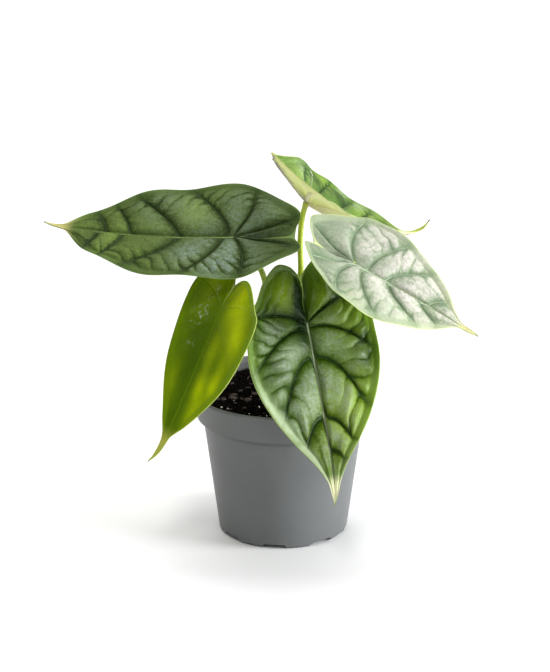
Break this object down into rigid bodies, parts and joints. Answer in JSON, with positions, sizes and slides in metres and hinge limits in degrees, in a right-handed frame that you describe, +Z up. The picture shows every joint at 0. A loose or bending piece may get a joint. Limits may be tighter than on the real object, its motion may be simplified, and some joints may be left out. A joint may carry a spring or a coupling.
{
  "type": "potted dragon scale alocasia",
  "caption": "House plant with quilted, shield-shaped blades on slender stalks, growing from a short corm in a tapered nursery pot full of soil.",
  "frame": {"origin": "middle of the pot's flat underside", "axes": "+Z up along the pot's axis, -Y towards the plant's front, +X to its right"},
  "size_m": [0.2685, 0.1563, 0.2457],
  "materials": {
    "pot_plastic": "moulded satin plastic, blue grey",
    "potting_soil": "moist dark peat with pale grains",
    "corm_skin": "dry papery brown",
    "stalk": "smooth, slightly glossy yellow green",
    "leaf_dark": "leathery, dark olive green with a grey sheen",
    "leaf_young": "smooth, glossy lime green",
    "leaf_green": "leathery, glossy green with silver ridges",
    "leaf_silver": "satin silver with green veins",
    "leaf_pale": "leathery light green, pale yellow beneath"
  },
  "bodies": {
    "root": {"pot": "pot_plastic", "soil": "potting_soil", "corm": "corm_skin", "blade_left": "leaf_dark", "petiole_left": "stalk", "blade_lower_left": "leaf_young", "petiole_lower_left": "stalk", "blade_front": "leaf_green", "petiole_front": "stalk", "blade_right": "leaf_silver", "petiole_right": "stalk", "blade_top": "leaf_pale", "petiole_top": "stalk"}
  },
  "joints": []
}
